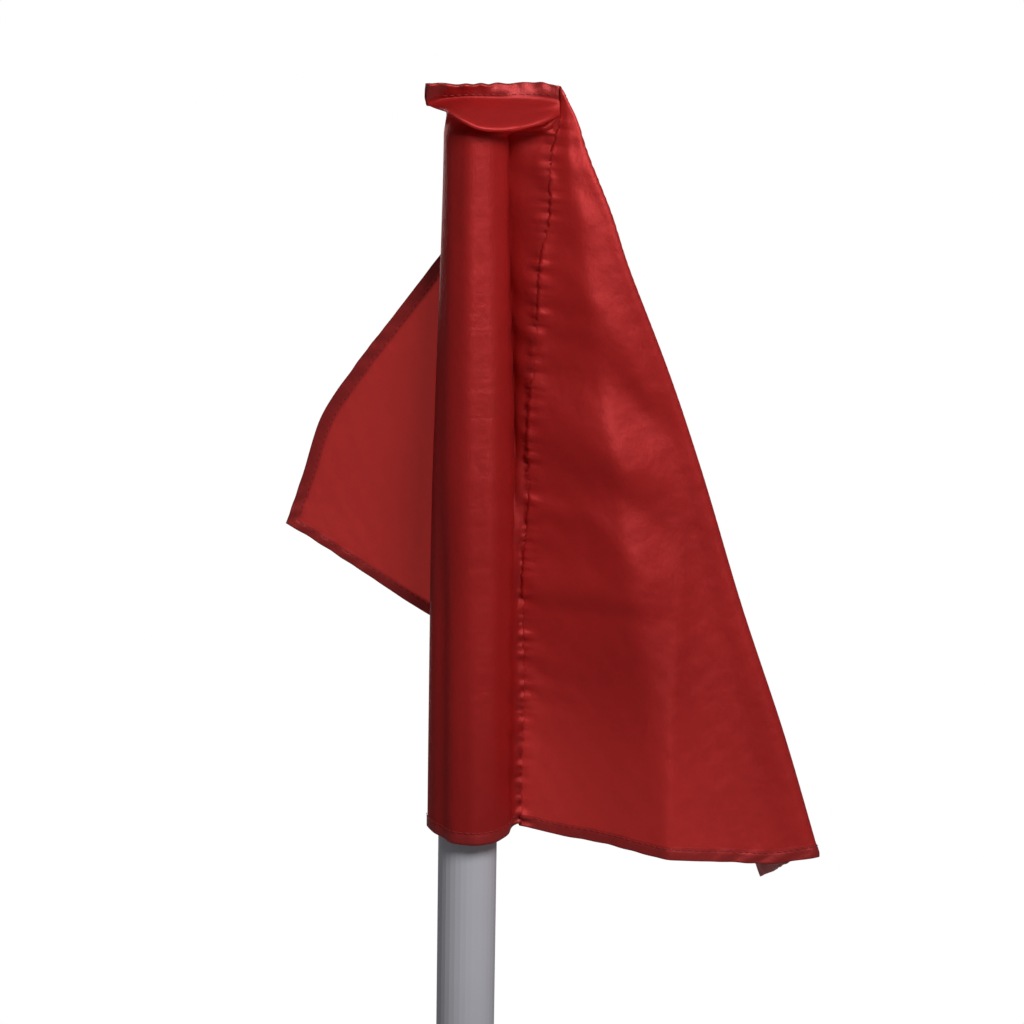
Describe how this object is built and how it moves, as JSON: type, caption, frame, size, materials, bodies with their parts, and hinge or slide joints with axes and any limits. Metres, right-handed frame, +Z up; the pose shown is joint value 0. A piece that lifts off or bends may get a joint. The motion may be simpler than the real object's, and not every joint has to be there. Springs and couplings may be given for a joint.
{
  "type": "golf flagstick",
  "caption": "Round two-piece flagstick with a stepped ferrule for the cup and a draped pocket flag that hangs over a turning cap at the top.",
  "frame": {"origin": "centre of the ferrule's flat foot", "axes": "+Z up along the pole; +X to the side that the flag hangs on; +Y to the back, where the cloth folds behind the pole"},
  "size_m": [0.2446, 0.1401, 2.1492],
  "materials": {
    "pole_plastic": "smooth pale grey, satin",
    "aluminium": "turned, satin",
    "white_plastic": "moulded, satin",
    "black_plastic": "moulded, satin",
    "spring_steel": "bright",
    "flag_nylon": "plain-woven nylon with a soft sheen"
  },
  "bodies": {
    "lower_section": {"ferrule": "aluminium", "ferrule_pin": "spring_steel", "lower_pole": "pole_plastic", "joint_spigot": "aluminium", "spigot_rivet_upper": "aluminium", "spigot_rivet_lower": "aluminium", "joint_collar": "black_plastic"},
    "upper_section": {"upper_pole": "pole_plastic", "top_bush": "white_plastic"},
    "cap": {"swivel_cap": "white_plastic", "cap_clip": "spring_steel"},
    "pocket": {"flag_pocket": "flag_nylon"},
    "fly": {"flag_front_panel": "flag_nylon", "flag_back_panel": "flag_nylon"}
  },
  "joints": [
    {"name": "section_pull", "type": "slide", "parent": "lower_section", "child": "upper_section", "axis": [0, 0, 1], "range_m": [0, 0.09]},
    {"name": "cap_turn", "type": "hinge", "parent": "upper_section", "child": "cap", "pos_m": [0, 0, 2.128], "axis": [0, 0, 1], "continuous": true},
    {"name": "flag_lift", "type": "slide", "parent": "cap", "child": "pocket", "axis": [0, 0, 1], "range_m": [0, 0.36]},
    {"name": "fly_swing", "type": "hinge", "parent": "pocket", "child": "fly", "pos_m": [0.0238, 0, 1.811], "axis": [-0.0346, -0.0059, -0.9994], "range_deg": [0, 75]}
  ]
}
